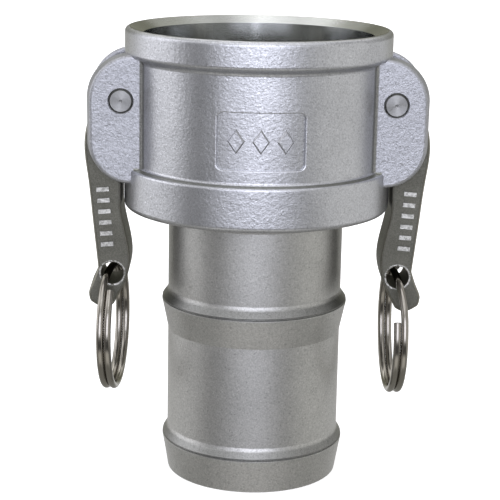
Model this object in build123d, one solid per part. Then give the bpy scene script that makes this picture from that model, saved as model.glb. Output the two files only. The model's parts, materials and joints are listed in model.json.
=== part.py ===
from build123d import *
import os
from math import cos, degrees, radians, sin, sqrt

# Female camlock coupler with a hose shank, for a 2 inch line. Millimetres.
# The origin is the centre of the shank's end face, +Z runs to the socket's mouth,
# the two arms stand at -X (left) and +X (right), and the front is -Y.

# ---- driving dimensions: the casting ----
RIM_R = 36.7
RIM_TOP_Z = 126.0
RIM_LOW_Z = 118.7
RIM_EDGE_R = 1.3
MID_R = 34.3
MID_TOP_Z = 117.6
BELT_R = 36.85
BELT_TOP_Z = 88.2
BELT_LEDGE_Z = 88.55
BELT_LOW_Z = 76.4
BELT_LOW_EDGE_R = 1.5
TUBE_R = 24.4
TUBE_ROOT_R = 3.0

# Hose barbs: (cone start radius, cone start z, ridge radius, ridge z, z where the flare dies out).
UPPER_BARB = (24.4, 41.4, 26.1, 49.8, 52.6)
LOWER_BARB = (24.2, 0.0, 25.8, 9.6, 12.4)
BARB_LIP = 0.3
BARB_GROOVE = 0.35

# ---- driving dimensions: inside the casting ----
WATERWAY_R = 21.7
SEAT_Z = 79.3
GROOVE_R = 33.5
GROOVE_TOP_Z = 86.1
BORE_R = 31.8
LOWER_LAND_TOP_Z = 89.6
RELIEF_R = 32.4
UPPER_LAND_LOW_Z = 117.2
MOUTH_CHAMFER_R = 35.3
MOUTH_CHAMFER_Z = 124.1

# ---- driving dimensions: ears, pins and windows ----
PIN_X = 37.05
PIN_Z = 107.0
PIN_R = 3.2
PIN_CHAMFER = 0.35
PIN_CENTRE_MARK_R = 0.45
EAR_FACE_Y = 13.7
SLOT_HALF = 7.5
EAR_FACE_ARCS = ((33.4, 107.3, 12.0), (34.1, 95.7, 11.3))
EAR_SLOT_ARCS = ((34.5, 107.3, 12.2), (35.1, 95.7, 11.5))
EAR_ROOT_X = 28.0
EAR_FACE_FILLET = 1.0
EAR_SLOT_FILLET = 0.8
EAR_ROOT_FILLET = 1.6
EAR_ROOT_SINK_ANGLE = 12.0
EAR_HOLE_GAP = 0.05
EAR_HOLE_CHAMFER = 0.3
WINDOW_LOW_Z = PIN_Z - 12.4
WINDOW_TOP_Z = PIN_Z + 8.6
WINDOW_CORNER_R = 1.0

# ---- driving dimensions: cast panel ----
PANEL_X = 0.4
PANEL_Z = 99.95
PANEL_WIDTH = 22.8
PANEL_HEIGHT = 15.0
PANEL_CORNER_R = 1.6
PANEL_DEPTH = 0.7
PANEL_EDGE_R = 0.3
DIAMOND_PITCH_ANGLE = 11.0
DIAMOND_HALF_WIDTH = 2.5
DIAMOND_HALF_HEIGHT = 3.7
DIAMOND_HEIGHT = 0.55
DIAMOND_DRAFT = 35.0
DIAMOND_SINK = 0.3

# ---- driving dimensions: cam arms ----
ARM_HALF = 7.25
ARM_EDGE_FILLET = 0.8
ARM_BORE_R = PIN_R + 0.08
HUB_TOP_R = 5.0
LOBE_R = 9.8
LOBE_ANGLE = 188.0
RING_HOLE_X = 39.8
RING_HOLE_Z = 57.85
RING_HOLE_R = 3.1
RING_HOLE_FILLET = 0.3
RIB_COUNT = 6
RIB_PITCH = 3.1
RIB_TOP = (42.4, 81.6)
RIB_WIDTH = 3.4
RIB_THICKNESS = 1.2
RIB_HEIGHT = 0.35
RIB_LEAN = 4.5

# ---- driving dimensions: gasket and pull rings ----
GASKET_OUTER_R = 33.3
GASKET_INNER_R = 25.4
GASKET_THICKNESS = 6.35
GASKET_EDGE = 0.4
WIRE_R = 1.02
RING_R = 17.5
TURN_SPACING = 1.95
RING_DROP = 16.65
LEFT_RING_PLACE = (40.0, 5.0)
RIGHT_RING_PLACE = (39.8, 2.0)


def lathe(points):
    """Solid of revolution about Z from (radius, z) corners."""
    return revolve(Plane.XZ * make_face(Polyline(*points, close=True)), Axis.Z)


def circle_edges(part, radius, z, tolerance=0.05):
    """The full-circle edges of a turned part at one radius and height."""
    found = ShapeList()
    for edge in part.edges().filter_by(GeomType.CIRCLE):
        at_height = abs(edge.center(CenterOf.MASS).Z - z) < tolerance
        if at_height and abs(edge.radius - radius) < tolerance:
            found.append(edge)
    return found


def barb_profile(barb):
    """Rising outline of one barb: cone, lip, fine groove and the flare above the ridge."""
    start_r, start_z, ridge_r, ridge_z, flare_z = barb
    return [
        (start_r, start_z),
        (ridge_r, ridge_z - BARB_LIP),
        (ridge_r, ridge_z),
        (ridge_r - BARB_GROOVE, ridge_z + 0.15),
        (ridge_r - BARB_GROOVE, ridge_z + 0.35),
        (ridge_r - 0.1, ridge_z + 0.6),
        (TUBE_R, flare_z),
    ]


def turned_outside():
    """The casting's outside without ears, with its turned edges rounded."""
    outline = [(0, 0)]
    outline += barb_profile(LOWER_BARB)
    outline += barb_profile(UPPER_BARB)
    outline += [
        (TUBE_R, BELT_LOW_Z),
        (BELT_R, BELT_LOW_Z),
        (BELT_R, BELT_TOP_Z),
        (MID_R, BELT_LEDGE_Z),
        (MID_R, MID_TOP_Z),
        (RIM_R, RIM_LOW_Z),
        (RIM_R, RIM_TOP_Z),
        (0, RIM_TOP_Z),
    ]
    part = lathe(outline)
    rounded = [
        (RIM_R, RIM_TOP_Z, RIM_EDGE_R),
        (RIM_R, RIM_LOW_Z, 1.2),
        (MID_R, MID_TOP_Z, 1.3),
        (MID_R, BELT_LEDGE_Z, 0.75),
        (BELT_R, BELT_TOP_Z, 0.7),
        (BELT_R, BELT_LOW_Z, BELT_LOW_EDGE_R),
        (TUBE_R, BELT_LOW_Z, TUBE_ROOT_R),
        (TUBE_R, UPPER_BARB[4], 2.0),
        (TUBE_R, LOWER_BARB[4], 2.0),
    ]
    for radius, z, fillet_r in rounded:
        part = fillet(circle_edges(part, radius, z), fillet_r)
    return part


def turned_inside():
    """Everything machined out of the casting: waterway, gasket groove, bore and lead-in."""
    return lathe([
        (0, -1),
        (WATERWAY_R + 1.9, -1),
        (WATERWAY_R, 0.9),
        (WATERWAY_R, SEAT_Z),
        (GROOVE_R, SEAT_Z),
        (GROOVE_R, GROOVE_TOP_Z),
        (BORE_R, GROOVE_TOP_Z),
        (BORE_R, LOWER_LAND_TOP_Z),
        (RELIEF_R, LOWER_LAND_TOP_Z + 0.6),
        (RELIEF_R, UPPER_LAND_LOW_Z - 0.6),
        (BORE_R, UPPER_LAND_LOW_Z),
        (BORE_R, MOUTH_CHAMFER_Z),
        (MOUTH_CHAMFER_R, RIM_TOP_Z),
        (MOUTH_CHAMFER_R, RIM_TOP_Z + 1),
        (0, RIM_TOP_Z + 1),
    ])


def ear_section(arcs, y):
    """D-shaped outline of an ear around two arcs (x, z, radius), on a plane across Y."""
    top, low = (Pos(x, z) * Circle(radius) for x, z, radius in arcs)
    high_z = arcs[0][1] + arcs[0][2]
    low_z = arcs[1][1] - arcs[1][2]
    root = Pos(EAR_ROOT_X, (high_z + low_z) / 2) * Rectangle(1, high_z - low_z)
    return Pos(0, y, 0) * (Plane.XZ * make_hull((top + low + root).edges()))


def right_ear():
    """One ear plate at +X, behind the slot (+Y), drafted towards its face and rounded."""
    plate = loft([ear_section(EAR_SLOT_ARCS, SLOT_HALF), ear_section(EAR_FACE_ARCS, EAR_FACE_Y)])
    for face_y, fillet_r in ((EAR_FACE_Y, EAR_FACE_FILLET), (SLOT_HALF, EAR_SLOT_FILLET)):
        rims = plate.edges().filter_by_position(Axis.Y, face_y - 0.01, face_y + 0.01)
        plate = fillet(rims.filter_by(lambda edge: edge.center().X > EAR_ROOT_X + 1), fillet_r)
    return plate


def ear_root_fillet():
    """Concave strip where the ear's face at +X, +Y meets the mid cylinder, sunk a little into both."""
    clear = EAR_ROOT_FILLET * cos(radians(EAR_ROOT_SINK_ANGLE))
    centre_y = EAR_FACE_Y + clear
    centre_x = sqrt((MID_R + clear) ** 2 - centre_y ** 2)
    share = (MID_R - 1) / (MID_R + clear)
    corners = [
        (sqrt(MID_R ** 2 - EAR_FACE_Y ** 2) - 1, EAR_FACE_Y - 1),
        (centre_x, EAR_FACE_Y - 1),
        (centre_x, centre_y),
        (centre_x * share, centre_y * share),
    ]
    section = make_face(Polyline(*corners, close=True)) - Pos(centre_x, centre_y) * Circle(EAR_ROOT_FILLET)
    low_z = BELT_TOP_Z - 1
    return Pos(0, 0, low_z) * extrude(section, RIM_LOW_Z + 1.5 - low_z)


def mirrored(part, plane):
    return mirror(part, about=plane)


def cam_window():
    """Opening through the socket's wall at +X for the cam lobe."""
    height = WINDOW_TOP_Z - WINDOW_LOW_Z
    centre_z = (WINDOW_TOP_Z + WINDOW_LOW_Z) / 2
    opening = RectangleRounded(2 * SLOT_HALF, height, WINDOW_CORNER_R)
    return extrude(Plane((EAR_ROOT_X - 8, 0, centre_z), x_dir=(0, 1, 0), z_dir=(1, 0, 0)) * opening, 17)


def ear_hole():
    """Pin hole through both ears at +X with a broken edge at each face."""
    hole_r = PIN_R + EAR_HOLE_GAP
    across = Plane((PIN_X, 0, PIN_Z), x_dir=(1, 0, 0), z_dir=(0, 1, 0))
    hole = Cylinder(hole_r, 2 * EAR_FACE_Y + 2)
    edge_cone = Cone(hole_r, hole_r + 2 * EAR_HOLE_CHAMFER, 2 * EAR_HOLE_CHAMFER)
    hole += Pos(0, 0, EAR_FACE_Y) * edge_cone
    hole += Pos(0, 0, -EAR_FACE_Y) * Rot(180, 0, 0) * edge_cone
    return across * hole


def front_prism(sketch):
    """A sketch given in X and Z, pushed through the front of the mid cylinder."""
    return extrude(Plane((0, -MID_R - 2, 0), x_dir=(1, 0, 0), z_dir=(0, -1, 0)) * sketch, -8)


def panel_recess():
    """Shallow pocket of even depth on the front."""
    outline = Pos(PANEL_X, PANEL_Z) * RectangleRounded(PANEL_WIDTH, PANEL_HEIGHT, PANEL_CORNER_R)
    floor = Cylinder(MID_R - PANEL_DEPTH, 60, align=(Align.CENTER, Align.CENTER, Align.MIN))
    return front_prism(outline) - Pos(0, 0, BELT_TOP_Z) * floor


def panel_diamond(turn):
    """A raised diamond with sloping sides on the pocket's floor, turned about Z by some degrees."""
    corners = [
        (0, DIAMOND_HALF_HEIGHT),
        (-DIAMOND_HALF_WIDTH, 0),
        (0, -DIAMOND_HALF_HEIGHT),
        (DIAMOND_HALF_WIDTH, 0),
    ]
    floor_y = MID_R - PANEL_DEPTH - DIAMOND_SINK
    base = Plane((0, -floor_y, PANEL_Z), x_dir=(1, 0, 0), z_dir=(0, -1, 0))
    diamond = base * make_face(Polyline(*corners, close=True))
    return Rot(0, 0, turn) * extrude(diamond, DIAMOND_HEIGHT + DIAMOND_SINK, taper=DIAMOND_DRAFT)


def panel_rim(part):
    """The edges of the panel's pocket that lie on the mid cylinder's surface."""
    found = ShapeList()
    for edge in part.edges().filter_by_position(Axis.Y, -MID_R - 0.1, 0.1 - MID_R * 0.9):
        height_ok = abs(edge.center().Z - PANEL_Z) < PANEL_HEIGHT / 2 + 0.1
        reach = [Vector(point.X, point.Y).length for point in (edge @ 0, edge @ 0.5, edge @ 1)]
        if height_ok and max(abs(radius - MID_R) for radius in reach) < 0.02:
            found.append(edge)
    return found


def make_body():
    ear = right_ear() + ear_root_fillet()
    ear_pair = ear + mirrored(ear, Plane.XZ)
    part = turned_outside() + ear_pair + mirrored(ear_pair, Plane.YZ)
    part -= turned_inside()
    for cutter in (cam_window(), ear_hole()):
        part -= cutter
        part -= mirrored(cutter, Plane.YZ)
    part -= panel_recess()
    part = fillet(panel_rim(part), PANEL_EDGE_R)
    panel_turn = degrees(PANEL_X / MID_R)
    for step in (-1, 0, 1):
        part += panel_diamond(panel_turn + step * DIAMOND_PITCH_ANGLE)
    return part


def make_gasket():
    ring = lathe([
        (GASKET_INNER_R, SEAT_Z),
        (GASKET_OUTER_R, SEAT_Z),
        (GASKET_OUTER_R, SEAT_Z + GASKET_THICKNESS),
        (GASKET_INNER_R, SEAT_Z + GASKET_THICKNESS),
    ])
    return chamfer(ring.edges().filter_by(GeomType.CIRCLE), GASKET_EDGE)


def about_pin(radius, angle):
    """Point at a radius and direction from the right pin's axis; 0 degrees is +X, 90 is +Z."""
    turn = radians(angle)
    return (PIN_X + radius * cos(turn), PIN_Z + radius * sin(turn))


def arm_outline():
    """Side view of the right arm, closed: hub, cam lobe, lever and finger tab."""
    hub_back = about_pin(8.2, -8)
    hub_top_start = about_pin(HUB_TOP_R, 70)
    hub_top_end = about_pin(HUB_TOP_R, 132)
    lobe_start = about_pin(LOBE_R - 1.3, LOBE_ANGLE - 20)
    lobe_tip = about_pin(LOBE_R, LOBE_ANGLE)
    lobe_end = about_pin(LOBE_R - 0.2, LOBE_ANGLE + 16)
    flank_top = (37.4, 93.6)
    flank_bend = (37.4, 76.6)
    flank_low = (34.9, 61.6)
    tab_inner = (36.5, 54.4)
    tab_low = (39.4, 48.9)
    tab_bottom = (42.6, 47.9)
    tab_tip = (46.4, 52.0)
    notch = (43.75, 59.3)
    bulge = (47.4, 94.6)
    return [
        Spline(hub_back, about_pin(7.0, 28), hub_top_start, tangents=[(0.1, 1), (-0.94, 0.34)]),
        ThreePointArc(hub_top_start, about_pin(HUB_TOP_R, 100), hub_top_end),
        Line(hub_top_end, lobe_start),
        ThreePointArc(lobe_start, lobe_tip, lobe_end),
        Line(lobe_end, flank_top),
        Line(flank_top, flank_bend),
        Spline(flank_bend, (35.55, 67.0), flank_low, (35.2, 58.6), tab_inner,
               tangents=[(-0.1, -1), (0.4, -0.9)]),
        Line(tab_inner, tab_low),
        Spline(tab_low, tab_bottom, (45.3, 49.2), tab_tip, tangents=[(0.7, -0.5), (0.1, 1)]),
        Spline(tab_tip, (45.2, 55.2), notch, tangents=[(-0.15, 1), (-0.35, 1)]),
        Spline(notch, (45.3, 74.0), (46.5, 85.2), bulge, (46.7, 99.5), hub_back,
               tangents=[(0.1, 1), (-0.1, 1)]),
    ]


def across_arm(x, z):
    """Plane through the arm's middle with its normal along Y, centred on a hole."""
    return Plane((x, 0, z), x_dir=(1, 0, 0), z_dir=(0, 1, 0))


def ring_hole():
    """Hole for the pull ring, along Z here, with a rounded mouth at each face."""
    lip_z = ARM_HALF - RING_HOLE_FILLET
    mouth_r = RING_HOLE_R + RING_HOLE_FILLET
    corner = RING_HOLE_FILLET * sin(radians(45))
    profile = [
        Line((0, 0), (RING_HOLE_R, 0)),
        Line((RING_HOLE_R, 0), (RING_HOLE_R, lip_z)),
        ThreePointArc((RING_HOLE_R, lip_z), (mouth_r - corner, lip_z + corner), (mouth_r, ARM_HALF)),
        Line((mouth_r, ARM_HALF), (mouth_r, ARM_HALF + 1)),
        Line((mouth_r, ARM_HALF + 1), (0, ARM_HALF + 1)),
        Line((0, ARM_HALF + 1), (0, 0)),
    ]
    half = revolve(Plane.XZ * make_face(Wire(profile)), Axis.Z)
    return half + mirrored(half, Plane.XY)


def arm_ribs():
    """Raised plain bars down both flat sides of the lever."""
    ribs = Part()
    for index in range(RIB_COUNT):
        x = RIB_TOP[0] - index * RIB_PITCH * sin(radians(RIB_LEAN))
        z = RIB_TOP[1] - index * RIB_PITCH * cos(radians(RIB_LEAN))
        bar = Box(RIB_WIDTH, 2 * (ARM_HALF + RIB_HEIGHT), RIB_THICKNESS)
        ribs += Pos(x, 0, z) * Rot(0, RIB_LEAN, 0) * bar
    return ribs


def make_right_arm():
    outline = make_face(Wire(arm_outline()))
    blank = extrude(Plane.XZ * outline, ARM_HALF, both=True)
    rims = blank.edges().filter_by_position(Axis.Y, ARM_HALF - 0.01, ARM_HALF + 0.01)
    rims += blank.edges().filter_by_position(Axis.Y, -ARM_HALF - 0.01, 0.01 - ARM_HALF)
    part = fillet(rims, ARM_EDGE_FILLET)
    part -= across_arm(RING_HOLE_X, RING_HOLE_Z) * ring_hole()
    part += arm_ribs()
    part -= across_arm(PIN_X, PIN_Z) * Cylinder(ARM_BORE_R, 4 * ARM_HALF)
    return part


def make_right_pin():
    pin = Cylinder(PIN_R, 2 * EAR_FACE_Y)
    pin = chamfer(pin.edges().filter_by(GeomType.CIRCLE), PIN_CHAMFER)
    mark = Cone(0.0, PIN_CENTRE_MARK_R, PIN_CENTRE_MARK_R)
    pin -= Pos(0, 0, EAR_FACE_Y - PIN_CENTRE_MARK_R / 2) * mark
    pin -= Pos(0, 0, PIN_CENTRE_MARK_R / 2 - EAR_FACE_Y) * Rot(180, 0, 0) * mark
    return across_arm(PIN_X, PIN_Z) * pin


def make_pull_ring(side, place):
    """Two touching turns of round wire in the arm's hole, on the side -1 or +1.

    The place is how far out the ring's centre is and how far its front edge turns outwards.
    """
    out_x, twist = place
    turns = Part()
    for offset in (-TURN_SPACING / 2, TURN_SPACING / 2):
        turns += Pos(offset, 0, 0) * Rot(0, 90, 0) * Torus(RING_R, WIRE_R)
    return Pos(side * out_x, 0, RING_HOLE_Z - RING_DROP) * Rot(0, 0, side * twist) * turns


right_arm = make_right_arm()
right_pin = make_right_pin()
pieces = {
    "body": make_body(),
    "gasket": make_gasket(),
    "right_cam_arm": right_arm,
    "left_cam_arm": mirrored(right_arm, Plane.YZ),
    "right_pivot_pin": right_pin,
    "left_pivot_pin": mirrored(right_pin, Plane.YZ),
    "left_pull_ring": make_pull_ring(-1, LEFT_RING_PLACE),
    "right_pull_ring": make_pull_ring(1, RIGHT_RING_PLACE),
}

os.makedirs("parts", exist_ok=True)
for name, piece in pieces.items():
    export_step(piece, "parts/" + name + ".step")
    print(name, "volume", round(piece.volume, 1))
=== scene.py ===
import json
from math import cos, pi, radians, sin

import bpy
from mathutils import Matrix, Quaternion, Vector


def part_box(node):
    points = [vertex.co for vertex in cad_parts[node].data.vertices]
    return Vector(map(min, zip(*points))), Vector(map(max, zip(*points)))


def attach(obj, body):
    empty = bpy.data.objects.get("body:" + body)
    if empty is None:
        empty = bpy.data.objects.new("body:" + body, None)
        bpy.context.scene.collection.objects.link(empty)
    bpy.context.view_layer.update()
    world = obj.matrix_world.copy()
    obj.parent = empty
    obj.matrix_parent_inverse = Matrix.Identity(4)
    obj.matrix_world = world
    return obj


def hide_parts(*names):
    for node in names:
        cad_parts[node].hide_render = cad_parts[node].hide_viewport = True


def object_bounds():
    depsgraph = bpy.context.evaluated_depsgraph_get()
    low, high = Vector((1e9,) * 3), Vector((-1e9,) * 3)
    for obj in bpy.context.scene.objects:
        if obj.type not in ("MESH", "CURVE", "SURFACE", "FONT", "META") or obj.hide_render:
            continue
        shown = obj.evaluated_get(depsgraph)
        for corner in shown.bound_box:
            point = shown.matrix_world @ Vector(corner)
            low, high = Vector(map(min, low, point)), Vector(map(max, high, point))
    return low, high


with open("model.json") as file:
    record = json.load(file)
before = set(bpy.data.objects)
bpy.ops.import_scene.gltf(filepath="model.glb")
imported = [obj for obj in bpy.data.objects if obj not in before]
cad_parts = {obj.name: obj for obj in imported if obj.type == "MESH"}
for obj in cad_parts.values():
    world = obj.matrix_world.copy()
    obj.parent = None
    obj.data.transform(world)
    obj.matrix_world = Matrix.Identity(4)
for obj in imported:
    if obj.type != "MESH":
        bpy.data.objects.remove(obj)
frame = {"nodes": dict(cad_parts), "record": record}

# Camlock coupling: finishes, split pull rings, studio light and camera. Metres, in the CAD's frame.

MM = 0.001
cad_low, cad_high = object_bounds()


# ---- shader building ----

def colour(red, green, blue):
    return (red, green, blue, 1.0)


class Shader:
    """Short calls that add nodes to one node tree and wire them up.

    A mask is a number from 0 to 1. The product of masks is where all of them are, and the largest
    of masks is where any of them is.
    """

    def __init__(self, tree):
        self.tree = tree
        self.tree.nodes.clear()

    def feed(self, socket, value):
        """Link an output socket to an input, or set the input to a plain value."""
        if isinstance(value, bpy.types.NodeSocket):
            self.tree.links.new(value, socket)
        else:
            socket.default_value = value

    def add(self, kind, inputs=(), **settings):
        """A new node; inputs are (socket name or index, value or output socket) pairs."""
        made = self.tree.nodes.new(kind)
        for name, value in settings.items():
            setattr(made, name, value)
        for key, value in inputs:
            self.feed(made.inputs[key], value)
        return made

    def calc(self, operation, *values):
        """One math node."""
        made = self.add("ShaderNodeMath", enumerate(values), operation=operation)
        return made.outputs[0]

    def fold(self, operation, first, *others):
        """The operation on first and each of the others in turn."""
        for other in others:
            first = self.calc(operation, first, other)
        return first

    def product(self, *values):
        return self.fold("MULTIPLY", *values)

    def total(self, *values):
        return self.fold("ADD", *values)

    def largest(self, *values):
        return self.fold("MAXIMUM", *values)

    def distance(self, across, up, centre_across, centre_up):
        """How far a point in a plane is from a centre."""
        offsets = (self.calc("SUBTRACT", across, centre_across), self.calc("SUBTRACT", up, centre_up))
        squares = [self.product(offset, offset) for offset in offsets]
        return self.calc("SQRT", self.total(*squares))

    def remap(self, value, low, high, to_low=0.0, to_high=1.0, kind="SMOOTHSTEP"):
        """Value from low..high to to_low..to_high, held at both ends."""
        ends = [("From Min", low), ("From Max", high), ("To Min", to_low), ("To Max", to_high)]
        made = self.add("ShaderNodeMapRange", [("Value", value)] + ends, interpolation_type=kind)
        return made.outputs[0]

    def above(self, value, edge, fade):
        """0 up to edge, rising to 1 over the fade."""
        return self.remap(value, edge, edge + fade)

    def below(self, value, edge, fade):
        """1 up to edge, falling to 0 over the fade."""
        return self.remap(value, edge, edge + fade, 1.0, 0.0)

    def band(self, value, ends, fade):
        """1 between two ends, fading to 0 outside them."""
        low, high = ends
        return self.product(self.above(value, low - fade, fade), self.below(value, high, fade))

    def blend(self, share, first, second):
        """Mix of two numbers by a share from 0 to 1."""
        pairs = [("Factor", share), ("A", first), ("B", second)]
        return self.add("ShaderNodeMix", pairs, data_type="FLOAT").outputs["Result"]

    def blend_colour(self, share, first, second, how="MIX"):
        """Mix of two colours by a share from 0 to 1."""
        made = self.add("ShaderNodeMix", data_type="RGBA", blend_type=how)
        first_socket, second_socket = [socket for socket in made.inputs if socket.type == "RGBA"]
        self.feed(made.inputs["Factor"], share)
        self.feed(first_socket, first)
        self.feed(second_socket, second)
        return next(socket for socket in made.outputs if socket.type == "RGBA")

    def layers(self, base, tints):
        """Colours laid over a base one after another, each in its mask."""
        for mask, tint in tints:
            base = self.blend_colour(mask, base, tint)
        return base

    def grey(self, level):
        """The grey of a level."""
        pairs = [("Red", level), ("Green", level), ("Blue", level)]
        return self.add("ShaderNodeCombineColor", pairs).outputs[0]

    def toned(self, base, level):
        """A colour made darker or lighter by a level around 1."""
        return self.blend_colour(1.0, base, self.grey(level), "MULTIPLY")

    def noise(self, where, size, detail=2.0, roughness=0.55):
        """Smooth noise from 0 to 1 whose features are about size across."""
        pairs = [("Vector", where), ("Scale", 1 / size), ("Detail", detail), ("Roughness", roughness)]
        return self.add("ShaderNodeTexNoise", pairs).outputs["Fac"]

    def spread(self, noise, low, high, usual=(0.3, 0.7)):
        """Noise stretched from the range where it usually lies to low..high."""
        return self.remap(noise, *usual, low, high, "LINEAR")

    def cells(self, where, size):
        """A random number from 0 to 1 for each cell about size across."""
        made = self.add("ShaderNodeTexVoronoi", [("Vector", where), ("Scale", 1 / size)])
        return self.add("ShaderNodeSeparateColor", [("Color", made.outputs["Color"])]).outputs["Red"]

    def bump(self, height, depth):
        """Normal for a height from 0 to 1 that stands depth metres tall."""
        pairs = [("Height", height), ("Distance", depth), ("Strength", 1.0)]
        return self.add("ShaderNodeBump", pairs).outputs["Normal"]

    def object_place(self):
        """The point's place in the CAD frame, and its x, y, z."""
        place = self.add("ShaderNodeTexCoord").outputs["Object"]
        return place, self.add("ShaderNodeSeparateXYZ", [("Vector", place)]).outputs

    def principled(self, base, roughness, normal=None, **sockets):
        """The surface's one shader. Sockets are uniform values, set on the shader itself."""
        pairs = [("Base Color", base), ("Roughness", roughness)]
        if normal is not None:
            pairs.append(("Normal", normal))
        pairs += [(name.replace("_", " "), value) for name, value in sockets.items()]
        surface = self.add("ShaderNodeBsdfPrincipled", pairs)
        self.add("ShaderNodeOutputMaterial", [("Surface", surface.outputs[0])])
        return surface


def new_material(name):
    made = bpy.data.materials.new(name)
    made.use_nodes = True
    return made, Shader(made.node_tree)


def joint_place(name):
    """The x, y, z that the record gives for a joint."""
    joints = frame["record"]["behaviour"]["joints"]
    return next(joint["pos_m"] for joint in joints if joint["name"] == name)


# ---- the casting's finish ----

# Where the finish changes. Radii are from the coupling's axis and heights from the shank's end. The
# ears' x and y are distances from the middle planes, the same on all four. A fade is the width over
# which the finish changes. Inside WATERWAY_R lie the waterway's wall and most of the shank's end.
MACHINED_EDGE = 0.1 * MM
SOCKET_R = 33.0 * MM
SOCKET_FLOOR_Z = 78.9 * MM
LEAD_IN_R = 35.3 * MM
LEAD_IN_Z = 123.9 * MM
WATERWAY_R = 23.7 * MM
SHANK_TOP_Z = 74.5 * MM
SHANK_FADE = 3.0 * MM

# The barbs' flares, which get painted shade: their heights, the radius past which they stand out, and
# fades.
FLARE_HEIGHTS = ((9.8 * MM, 12.8 * MM), (50.0 * MM, 53.0 * MM))
FLARE_HEIGHT_FADE = 0.5 * MM
FLARE_R = 24.42 * MM
FLARE_FADE = 0.48 * MM

EAR_X = 30.8 * MM
EAR_X_FADE = 1.2 * MM
EAR_Y = 14.6 * MM
EAR_Y_FADE = 0.8 * MM
EAR_HEIGHTS = (85.0 * MM, 119.0 * MM)
EAR_HEIGHT_FADE = 1.0 * MM

# Painted shade in the corner where an ear's face meets the cylinder: the corner's x and y, and how
# far the painted shade reaches from it.
EAR_ROOT = (31.45 * MM, 13.7 * MM)
EAR_ROOT_R = 1.5 * MM
EAR_ROOT_FADE = 0.7 * MM
EAR_ROOT_Y = 13.72 * MM
EAR_ROOT_Y_FADE = 0.08 * MM
EAR_ROOT_HEIGHTS = (89.0 * MM, 119.0 * MM)
EAR_ROOT_HEIGHT_FADE = 0.5 * MM

# Two thin rings of painted shade: the belt's ledge and the line round the mouth.
LEDGE_HEIGHTS = (88.0 * MM, 88.7 * MM)
LEDGE_HEIGHT_FADE = 0.2 * MM
LEDGE_RADII = (34.9 * MM, 36.2 * MM)
LEDGE_FADE = 0.3 * MM
MOUTH_LINE_RADII = (35.25 * MM, 35.4 * MM)
MOUTH_LINE_Z = 125.5 * MM
MOUTH_LINE_FADE = 0.3 * MM

BLASTED_STEEL = colour(0.60, 0.605, 0.635)
SHANK_STEEL = colour(0.52, 0.515, 0.50)
EAR_STEEL = colour(0.48, 0.485, 0.515)
PAINTED_SHADE_STEEL = colour(0.33, 0.33, 0.32)
TURNED_STEEL = colour(0.56, 0.57, 0.56)
PAINTED_EDGE_SHADE = colour(0.32, 0.32, 0.28)

GRAIN_SIZE = 0.45 * MM
PEBBLE_SIZE = 0.95 * MM
CLOUD_SIZE = 11.0 * MM
GLINT_SIZE = 0.34 * MM
PIT_SIZE = 0.38 * MM
CAST_RELIEF = 0.07 * MM
TOOL_PITCH = 0.22 * MM
TOOL_RELIEF = 0.05           # share of the cast relief


def casting_masks(s, radius, axes):
    """Masks of the turned faces, shank, ears, painted shade at ear roots and flares, and painted edge
    shade.
    """
    aside = s.calc("ABSOLUTE", axes[0])
    depth = s.calc("ABSOLUTE", axes[1])
    height = axes[2]

    socket = s.product(
        s.below(radius, SOCKET_R, MACHINED_EDGE),
        s.above(height, SOCKET_FLOOR_Z, 2 * MACHINED_EDGE),
    )
    lead_in = s.product(
        s.below(radius, LEAD_IN_R, MACHINED_EDGE),
        s.above(height, LEAD_IN_Z, MACHINED_EDGE),
    )
    turned = s.largest(socket, lead_in, s.below(radius, WATERWAY_R, MACHINED_EDGE))

    shank = s.below(height, SHANK_TOP_Z, SHANK_FADE)
    # Painted shade on the barbs' flares.
    flares = [s.band(height, heights, FLARE_HEIGHT_FADE) for heights in FLARE_HEIGHTS]
    flare = s.product(s.largest(*flares), s.above(radius, FLARE_R, FLARE_FADE))

    ear = s.product(
        s.above(aside, EAR_X, EAR_X_FADE),
        s.below(depth, EAR_Y, EAR_Y_FADE),
        s.band(height, EAR_HEIGHTS, EAR_HEIGHT_FADE),
    )
    # Painted shade in the ears' root corners.
    ear_root = s.product(
        s.below(s.distance(aside, depth, *EAR_ROOT), EAR_ROOT_R, EAR_ROOT_FADE),
        s.above(depth, EAR_ROOT_Y, EAR_ROOT_Y_FADE),
        s.band(height, EAR_ROOT_HEIGHTS, EAR_ROOT_HEIGHT_FADE),
    )

    # Painted shade on the belt's ledge.
    ledge = s.product(
        s.band(height, LEDGE_HEIGHTS, LEDGE_HEIGHT_FADE),
        s.band(radius, LEDGE_RADII, LEDGE_FADE),
    )
    # Painted shade on the line round the mouth.
    mouth_line = s.product(
        s.band(radius, MOUTH_LINE_RADII, MACHINED_EDGE),
        s.above(height, MOUTH_LINE_Z, MOUTH_LINE_FADE),
    )
    return turned, shank, ear, s.largest(flare, ear_root), s.largest(ledge, mouth_line)


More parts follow.
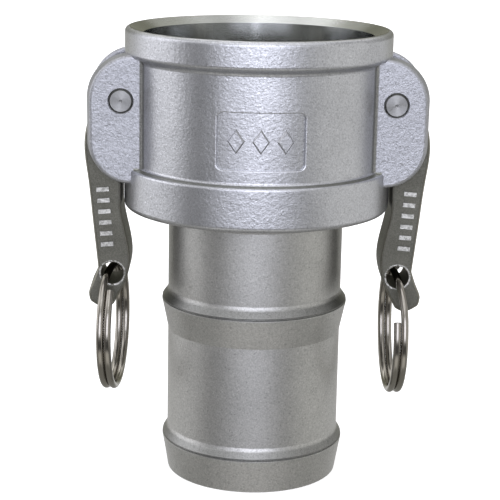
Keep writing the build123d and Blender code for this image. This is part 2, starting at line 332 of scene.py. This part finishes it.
def cast_steel():
    """Bead-blasted casting: socket and waterway machined bright, shank warmer with painted shade on
    the flares of its barbs, ears duller, painted shade at the ears' roots and on thin edges."""
    made, s = new_material("cast_steel")
    place, axes = s.object_place()
    radius = s.distance(axes[0], axes[1], 0.0, 0.0)
    turned, shank, ear, painted_shade, painted_edge_shade = casting_masks(s, radius, axes)

    grain = s.noise(place, GRAIN_SIZE, roughness=0.75)
    pebble = s.noise(place, PEBBLE_SIZE, roughness=0.6)
    cloud = s.noise(place, CLOUD_SIZE, detail=3.0)
    glint = s.above(s.cells(place, GLINT_SIZE), 0.92, 0.06)
    pit = s.below(s.cells(place, PIT_SIZE), 0.03, 0.04)

    tints = (
        (shank, SHANK_STEEL),
        (ear, EAR_STEEL),
        # Painted shade: the ears' root corners and the barbs' flares.
        (painted_shade, PAINTED_SHADE_STEEL),
        (turned, TURNED_STEEL),
        # Painted shade on the ledge and the line round the mouth.
        (painted_edge_shade, PAINTED_EDGE_SHADE),
    )
    tone = s.total(
        s.spread(grain, 0.76, 1.12),
        s.spread(cloud, -0.04, 0.04, (0.35, 0.65)),
        s.product(glint, 0.12),
        s.product(pit, -0.16),
    )
    base = s.toned(s.layers(BLASTED_STEEL, tints), s.blend(turned, tone, 1.0))

    rough = s.spread(grain, 0.38, 0.27)
    for mask, roughness in ((ear, 0.46), (shank, 0.41), (turned, 0.11)):
        rough = s.blend(mask, rough, roughness)

    cast = s.product(
        s.total(s.product(grain, 0.6), s.product(pebble, 0.9)),
        s.calc("SUBTRACT", 1.0, turned),
        s.blend(shank, 1.0, 0.5),
        s.blend(ear, 1.0, 1.9),
    )
    tool_marks = s.calc("SINE", s.product(s.total(axes[2], radius), 2 * pi / TOOL_PITCH))
    relief = s.total(cast, s.product(tool_marks, turned, TOOL_RELIEF))
    s.principled(base, rough, s.bump(relief, CAST_RELIEF), Metallic=1.0)
    return made


# ---- the other finishes ----

# Distances from the arm's middle plane, and one from the middle of the ring's hole.
ARM_RIB_Y = 7.45 * MM
ARM_RIB_FADE = 0.13 * MM
ARM_EDGE_DEPTHS = (6.6 * MM, 7.1 * MM)
ARM_EDGE_FADE = 0.12 * MM
ARM_FLANK_Y = 6.9 * MM
ARM_FLANK_FADE = 0.1 * MM
HOLE_WEAR_R = 3.5 * MM
HOLE_WEAR_FADE = 0.3 * MM
ARM_RELIEF = 0.05 * MM

DARK_CAST_STEEL = colour(0.150, 0.147, 0.125)
PAINTED_EDGE_HIGHLIGHT = colour(0.29, 0.28, 0.24)
WORN_BRIGHT = colour(0.62, 0.61, 0.58)


def arm_steel():
    """Dark as-cast steel, rubbed brighter on the ribs and round the ring's hole; painted highlight on
    the long edges.
    """
    made, s = new_material("arm_steel")
    place, axes = s.object_place()
    aside = s.calc("ABSOLUTE", axes[0])
    depth = s.calc("ABSOLUTE", axes[1])
    hole_x, _, hole_z = joint_place("right_ring_swing")
    from_hole = s.distance(aside, axes[2], hole_x, hole_z)

    grain = s.noise(place, 0.34 * MM, roughness=0.7)
    pebble = s.noise(place, 1.2 * MM, roughness=0.6)
    cloud = s.noise(place, 8 * MM, roughness=0.5)
    wear = s.above(s.noise(place, 0.9 * MM, detail=3.0, roughness=0.7), 0.40, 0.16)

    on_rib = s.product(s.above(depth, ARM_RIB_Y, ARM_RIB_FADE), s.blend(wear, 0.45, 1.0))
    # Painted highlight along the arm's long edges.
    on_edge = s.band(depth, ARM_EDGE_DEPTHS, ARM_EDGE_FADE)
    at_hole = s.product(
        s.below(from_hole, HOLE_WEAR_R, HOLE_WEAR_FADE),
        s.above(depth, ARM_FLANK_Y, ARM_FLANK_FADE),
        wear,
    )
    bright = s.largest(on_rib, at_hole)

    tone = s.total(s.spread(grain, 0.80, 1.16), s.spread(cloud, -0.08, 0.08, (0.35, 0.65)))
    base = s.layers(DARK_CAST_STEEL, ((on_edge, PAINTED_EDGE_HIGHLIGHT), (bright, WORN_BRIGHT)))
    rough = s.blend(bright, s.spread(grain, 0.58, 0.46), 0.30)
    relief = s.total(s.product(grain, 0.6), s.product(pebble, 0.8))
    s.principled(s.toned(base, tone), rough, s.bump(relief, ARM_RELIEF), Metallic=1.0)
    return made


PIN_EDGE_R = 2.75 * MM
PIN_EDGE_FADE = 0.2 * MM
PIN_EDGE_PAINTED_SHADE = colour(0.10, 0.10, 0.09)


def turned_pin_steel():
    """Bright turned pin: rings left by the tool stretch its highlight, and its edge has painted shade.
    """
    made, s = new_material("turned_pin_steel")
    place, axes = s.object_place()
    low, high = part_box("right_pivot_pin")
    middle = (low + high) / 2
    radius = s.distance(s.calc("ABSOLUTE", axes[0]), axes[2], middle.x, middle.z)
    # Painted shade round the pin's edge.
    edge = s.above(radius, PIN_EDGE_R, PIN_EDGE_FADE)
    tone = s.spread(s.noise(place, 0.5 * MM), 0.30, 0.36)
    base = s.blend_colour(edge, s.grey(tone), PIN_EDGE_PAINTED_SHADE)
    surface = s.principled(base, 0.36, Metallic=1.0, Anisotropic=0.95, Anisotropic_Rotation=0.25)
    tangent = s.add("ShaderNodeTangent", direction_type="RADIAL", axis="Y").outputs[0]
    s.feed(surface.inputs["Tangent"], tangent)
    return made


DRAWN_LINES = (1.0, 60.0, 0.0)          # how much finer the noise is along and round the wire
WIRE_RELIEF = 0.004 * MM
WIRE_DARK = colour(0.31, 0.29, 0.255)
WIRE_LIGHT = colour(0.39, 0.365, 0.33)


def ring_steel():
    """Polished spring wire with faint drawing lines along it."""
    made, s = new_material("ring_steel")
    along = s.add("ShaderNodeUVMap", uv_map="wire").outputs[0]
    pairs = [(0, along), (1, DRAWN_LINES)]
    stretched = s.add("ShaderNodeVectorMath", pairs, operation="MULTIPLY").outputs["Vector"]
    lines = s.noise(stretched, 0.9)
    base = s.blend_colour(lines, WIRE_DARK, WIRE_LIGHT)
    s.principled(base, s.spread(lines, 0.09, 0.17), s.bump(lines, WIRE_RELIEF), Metallic=1.0)
    return made


RUBBER_RELIEF = 0.03 * MM
RUBBER_BLACK = colour(0.018, 0.018, 0.019)
RUBBER_BLOOM = colour(0.035, 0.034, 0.033)


def gasket_rubber():
    """Matt black rubber with a faint bloom."""
    made, s = new_material("gasket_rubber")
    place, _ = s.object_place()
    grain = s.noise(place, 0.5 * MM, detail=3.0, roughness=0.6)
    bloom = s.noise(place, 6 * MM, roughness=0.5)
    base = s.blend_colour(bloom, RUBBER_BLACK, RUBBER_BLOOM)
    s.principled(base, s.spread(grain, 0.48, 0.68), s.bump(grain, RUBBER_RELIEF))
    return made


def dress(node, material):
    """Give a CAD node one material all over."""
    for slot in frame["nodes"][node].material_slots:
        slot.material = material


# ---- split pull rings ----

WIRE_R = 1.02 * MM
TURN_PITCH = 2.06 * MM
END_CHAMFER = 0.18 * MM
PATH_STEP = radians(3)
WIRE_SIDES = 24
SHARP_ANGLE = radians(35)


def ring_path(ring_r, start, gap_end, lane):
    """Centre line of a two-turn split ring in its own plane: (lateral, forward, up) points.

    Angles are measured from the ring's front, 90 degrees being its top. The wire starts at start,
    goes down and round nearly twice to gap_end, and steps from one lane to the other on its way
    past the gap between the two.
    """
    first_turn_end = start - 2 * pi
    step_start = gap_end - 2 * pi
    last = gap_end - 4 * pi
    count = round((start - last) / PATH_STEP)
    points = []
    for index in range(count + 1):
        angle = start + (last - start) * index / count
        share = (step_start - angle) / (step_start - first_turn_end)
        share = min(max(share, 0.0), 1.0)
        share = share * share * (3 - 2 * share)
        lateral = lane * (0.5 - share) * TURN_PITCH
        points.append(Vector((lateral, -ring_r * cos(angle), ring_r * sin(angle))))
    return points


def wire_sections(points):
    """(centre, direction, radius, length so far) along a wire, with a chamfer at both ends."""
    sections = []
    travelled = 0.0
    for index, point in enumerate(points):
        before, after = points[max(index - 1, 0)], points[min(index + 1, len(points) - 1)]
        sections.append((point, (after - before).normalized(), WIRE_R, travelled))
        travelled += (after - point).length
    end_r = WIRE_R - END_CHAMFER
    start, way, _, _ = sections[0]
    sections.insert(0, (start - way * END_CHAMFER, way, end_r, -END_CHAMFER))
    end, way, _, travelled = sections[-1]
    sections.append((end + way * END_CHAMFER, way, end_r, travelled + END_CHAMFER))
    return sections


def wire_mesh(name, points):
    """Round wire along points, with flat ends and a UV map along its length."""
    sections = wire_sections(points)
    vertices, faces, uvs = [], [], []
    across = Vector((1, 0, 0))
    for centre, direction, radius, travelled in sections:
        side = (across - direction * across.dot(direction)).normalized()
        up = direction.cross(side)
        for corner in range(WIRE_SIDES):
            turn = 2 * pi * corner / WIRE_SIDES
            vertices.append(centre + (side * cos(turn) + up * sin(turn)) * radius)

    for index in range(len(sections) - 1):
        low, high = index * WIRE_SIDES, (index + 1) * WIRE_SIDES
        near, far = sections[index][3] / WIRE_R, sections[index + 1][3] / WIRE_R
        for corner in range(WIRE_SIDES):
            beside = (corner + 1) % WIRE_SIDES
            left, right = corner / WIRE_SIDES, (corner + 1) / WIRE_SIDES
            faces.append((low + corner, low + beside, high + beside, high + corner))
            uvs += [(near, left), (near, right), (far, right), (far, left)]

    first_end = list(range(WIRE_SIDES))
    last_end = [(len(sections) - 1) * WIRE_SIDES + corner for corner in first_end]
    for cap in (first_end[::-1], last_end):
        faces.append(tuple(cap))
        uvs += [(0.0, 0.5)] * WIRE_SIDES

    mesh = bpy.data.meshes.new(name)
    mesh.from_pydata(vertices, [], faces)
    layer = mesh.uv_layers.new(name="wire")
    for loop, uv in zip(layer.data, uvs):
        loop.uv = uv
    mesh.shade_smooth()
    mesh.set_sharp_from_angle(angle=SHARP_ANGLE)
    return mesh


def split_ring(side, start, gap_end, lane, twist, material):
    """The two-turn ring that stands for one CAD pull ring. Angles are in degrees."""
    word = "right" if side > 0 else "left"
    node = word + "_pull_ring"
    low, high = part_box(node)
    ring_r = (high.z - low.z) / 2 - WIRE_R
    mesh = wire_mesh(word + "_split_ring", ring_path(ring_r, radians(start), radians(gap_end), lane))
    mesh.materials.append(material)
    ring = bpy.data.objects.new(word + "_split_ring", mesh)
    bpy.context.scene.collection.objects.link(ring)
    ring.rotation_euler = (0, 0, radians(side * twist))
    ring.location = (low + high) / 2
    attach(ring, word + "_ring")
    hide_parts(node)


# ---- studio ----

FLOOR_HALF = 8.0
FLOOR_GAP = 0.2 * MM
FLOOR_GLOW = 0.6
PAPER = colour(0.9, 0.9, 0.9)
WHITE = colour(1, 1, 1)


def white_floor():
    """A plain pale floor, large enough to fill the view to its edges."""
    made, s = new_material("floor_paper")
    s.principled(PAPER, 0.9, Emission_Color=WHITE, Emission_Strength=FLOOR_GLOW)
    corners = [(FLOOR_HALF * x, FLOOR_HALF * y, 0) for x, y in ((-1, -1), (1, -1), (1, 1), (-1, 1))]
    mesh = bpy.data.meshes.new("studio_floor")
    mesh.from_pydata(corners, [], [(0, 1, 2, 3)])
    mesh.materials.append(made)
    floor = bpy.data.objects.new("studio_floor", mesh)
    bpy.context.scene.collection.objects.link(floor)
    floor.location.z = cad_low.z - FLOOR_GAP
    floor.visible_glossy = False
    floor.visible_shadow = False


# Patches of directions: azimuth and elevation of the middle, half width and half height, then how
# far the edge fades sideways and upwards, all in degrees. Azimuth 0 is behind the camera, 90 is +X.
SOFT_BOXES = (
    ((-2, 11, 20, 12, 18, 12), colour(1.70, 1.75, 2.02)),
    ((2, 28, 2, 28, 4, 14), colour(1.70, 1.75, 1.98)),
    ((0, 62, 60, 12, 30, 18), colour(0.75, 0.76, 0.80)),
    ((-95, 16, 16, 20, 14, 10), colour(1.12, 1.13, 1.21)),
    ((78, 0, 22, 14, 16, 16), colour(0.26, 0.26, 0.25)),
    ((0, -46, 30, 8, 50, 9), colour(0.50, 0.49, 0.48)),
    ((180, -14, 60, 8, 20, 8), colour(0.20, 0.20, 0.20)),
    ((180, 68, 40, 8, 20, 10), colour(0.26, 0.26, 0.27)),
    ((180, 64, 4, 10, 6, 8), colour(1.80, 1.80, 1.84)),
    ((-162, 57, 3, 9, 6, 8), colour(1.80, 1.80, 1.84)),
    ((-140, 45, 14, 12, 14, 12), colour(0.70, 0.70, 0.70)),
    ((140, 45, 14, 12, 14, 12), colour(0.60, 0.60, 0.60)),
)
DARK_PATCHES = (
    ((0, -25, 52, 7, 14, 9), colour(0.12, 0.12, 0.12)),
    ((-58, -4, 8, 16, 14, 14), colour(0.18, 0.18, 0.18)),
    ((180, 18, 34, 26, 16, 12), colour(0.24, 0.24, 0.19)),
)
SURROUND = colour(0.50, 0.50, 0.49)
ZENITH = colour(1.15, 1.15, 1.18)
GROUND = colour(0.32, 0.32, 0.30)

# The zenith's light starts at an elevation, and only over the front half, where the direction's y
# is negative. The ground's shade lies under an elevation. Each has its fade beside it.
ZENITH_ELEVATION, ZENITH_FADE = 62.0, 22.0
ZENITH_Y, ZENITH_Y_FADE = -0.02, 0.14
GROUND_ELEVATION, GROUND_FADE = -40.0, 18.0


def studio_world():
    """Soft boxes in a grey room, painted by direction and seen as plain white by the camera."""
    world = bpy.data.worlds.new("studio")
    bpy.context.scene.world = world
    world.use_nodes = True
    s = Shader(world.node_tree)
    direction = s.add("ShaderNodeTexCoord").outputs["Generated"]
    axes = s.add("ShaderNodeSeparateXYZ", [("Vector", direction)]).outputs
    azimuth = s.calc("DEGREES", s.calc("ARCTAN2", axes[0], s.product(axes[1], -1.0)))
    elevation = s.calc("DEGREES", s.calc("ARCSINE", axes[2]))

    def patch(middle, height, half_width, half_height, fade_aside, fade_above):
        """1 inside a patch of directions, fading to 0 over its edge."""
        aside = s.calc("ABSOLUTE", s.calc("WRAP", s.calc("SUBTRACT", azimuth, middle), 180.0, -180.0))
        above = s.calc("ABSOLUTE", s.calc("SUBTRACT", elevation, height))
        return s.product(s.below(aside, half_width, fade_aside), s.below(above, half_height, fade_above))

    overhead = s.product(
        s.above(elevation, ZENITH_ELEVATION, ZENITH_FADE),
        s.below(axes[1], ZENITH_Y, ZENITH_Y_FADE),
    )
    underfoot = s.below(elevation, GROUND_ELEVATION, GROUND_FADE)
    shade = s.layers(SURROUND, ((overhead, ZENITH), (underfoot, GROUND)))
    shade = s.layers(shade, [(patch(*place), tint) for place, tint in DARK_PATCHES])
    for place, light in SOFT_BOXES:
        shade = s.blend_colour(patch(*place), shade, light, "ADD")
    seen = s.add("ShaderNodeLightPath").outputs["Is Camera Ray"]
    shade = s.blend_colour(seen, shade, WHITE)
    background = s.add("ShaderNodeBackground", [("Color", shade), ("Strength", 1.0)])
    s.add("ShaderNodeOutputWorld", [("Surface", background.outputs[0])])


CAMERA_PLACE = (-8.07 * MM, -440.03 * MM, 170.4 * MM)
CAMERA_YAW = radians(0.8657)
CAMERA_PITCH = radians(13.68)
CAMERA_ROLL = radians(1.1013)
CAMERA_LENS = 115.4
VIEW_DEPTH = 30.0


def camera():
    """The view: a long lens a little above the socket, looking down at the coupling's front."""
    data = bpy.data.cameras.new("camera")
    data.lens = CAMERA_LENS
    data.clip_end = VIEW_DEPTH
    made = bpy.data.objects.new("camera", data)
    bpy.context.scene.collection.objects.link(made)
    level = cos(CAMERA_PITCH)
    aim = Vector((sin(CAMERA_YAW) * level, cos(CAMERA_YAW) * level, -sin(CAMERA_PITCH)))
    made.location = CAMERA_PLACE
    made.rotation_mode = "QUATERNION"
    made.rotation_quaternion = aim.to_track_quat("-Z", "Y") @ Quaternion((0, 0, 1), CAMERA_ROLL)
    bpy.context.scene.camera = made


# ---- the scene ----

dark_steel = arm_steel()
pin_steel = turned_pin_steel()
wire_steel = ring_steel()
dress("body", cast_steel())
dress("gasket", gasket_rubber())
for word in ("left", "right"):
    dress(word + "_cam_arm", dark_steel)
    dress(word + "_pivot_pin", pin_steel)
split_ring(side=-1, start=46, gap_end=120, lane=1, twist=5.0, material=wire_steel)
split_ring(side=1, start=20, gap_end=105, lane=-1, twist=2.0, material=wire_steel)
white_floor()
studio_world()
camera()
bpy.context.scene.view_settings.view_transform = "Standard"
